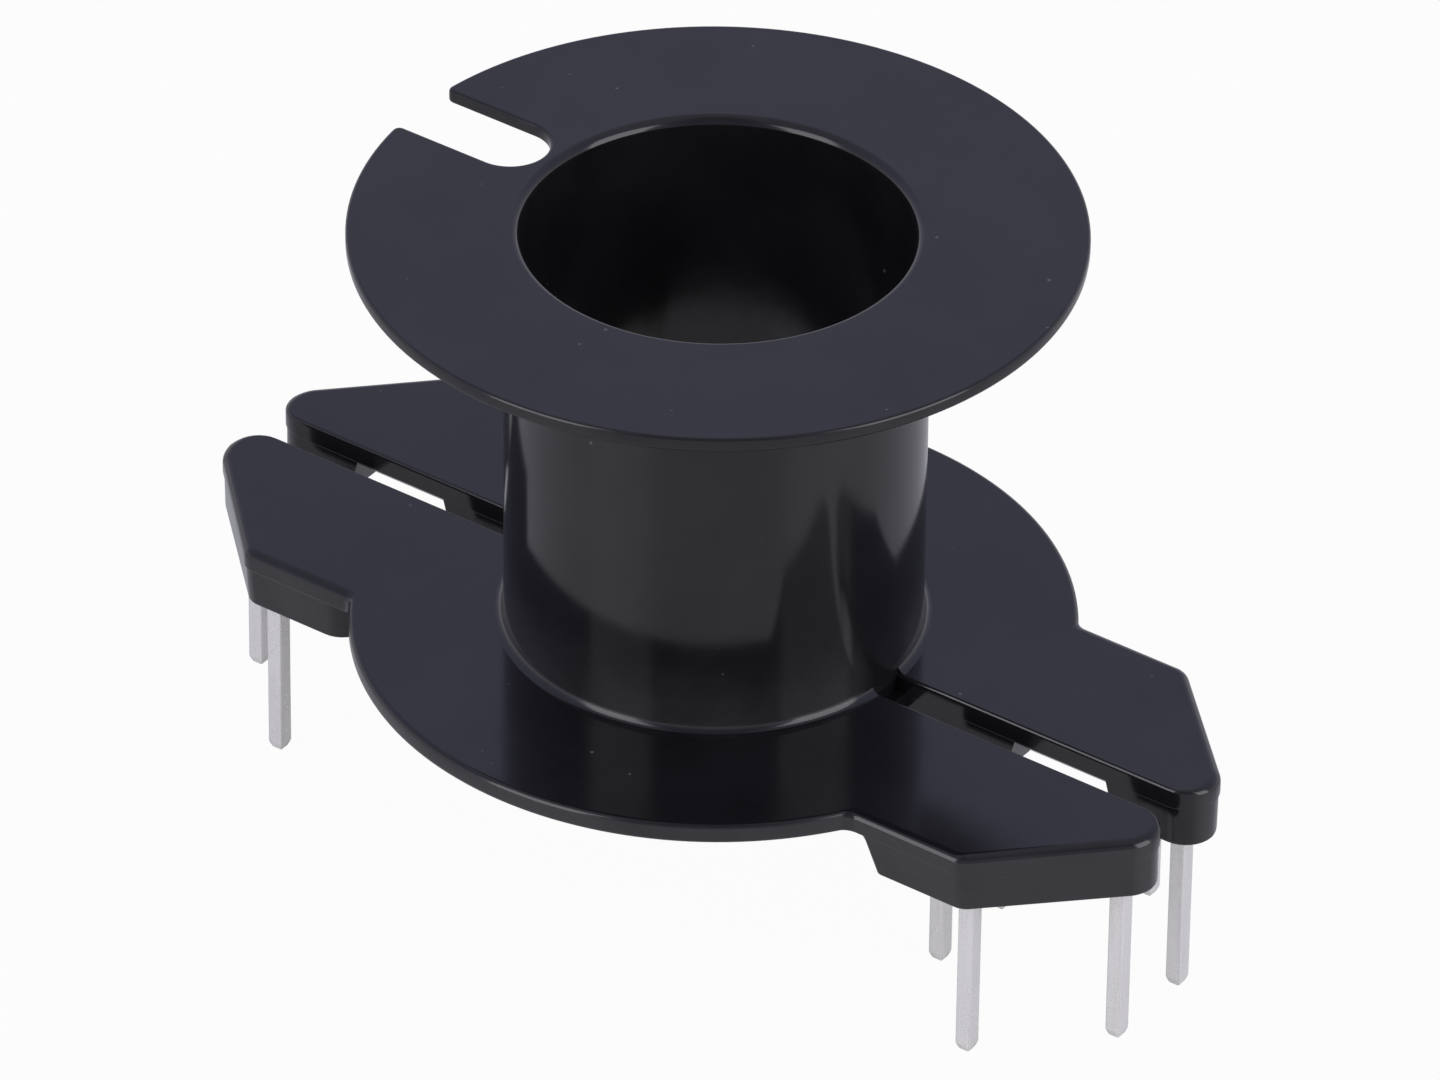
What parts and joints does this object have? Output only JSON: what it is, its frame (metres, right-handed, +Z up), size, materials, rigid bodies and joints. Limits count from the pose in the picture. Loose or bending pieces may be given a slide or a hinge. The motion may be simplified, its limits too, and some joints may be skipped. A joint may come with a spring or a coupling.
{
  "type": "coil former",
  "caption": "Black moulded transformer coil former: a round tube with a thin flange at each end, split arms at its foot and square tinned solder pins below, for a round-post ferrite core.",
  "frame": {"origin": "On the bore's axis, in the plane of the pin tips that the part stands on.", "axes": "+Z up along the bore's axis, +X along the two arms, +Y across them; the wire slot in the top flange faces -X."},
  "size_m": [0.0384, 0.0246, 0.0243],
  "materials": {
    "black_moulding": "semi-gloss thermoset moulding",
    "tinned_pin": "dull tin plate, drawn lengthwise"
  },
  "bodies": {
    "root": {"coil_former": "black_moulding", "terminal_pin_1": "tinned_pin", "terminal_pin_2": "tinned_pin", "terminal_pin_3": "tinned_pin", "terminal_pin_4": "tinned_pin", "terminal_pin_5": "tinned_pin", "terminal_pin_6": "tinned_pin", "terminal_pin_7": "tinned_pin", "terminal_pin_8": "tinned_pin", "terminal_pin_9": "tinned_pin", "terminal_pin_10": "tinned_pin", "terminal_pin_11": "tinned_pin", "terminal_pin_12": "tinned_pin"}
  },
  "joints": []
}
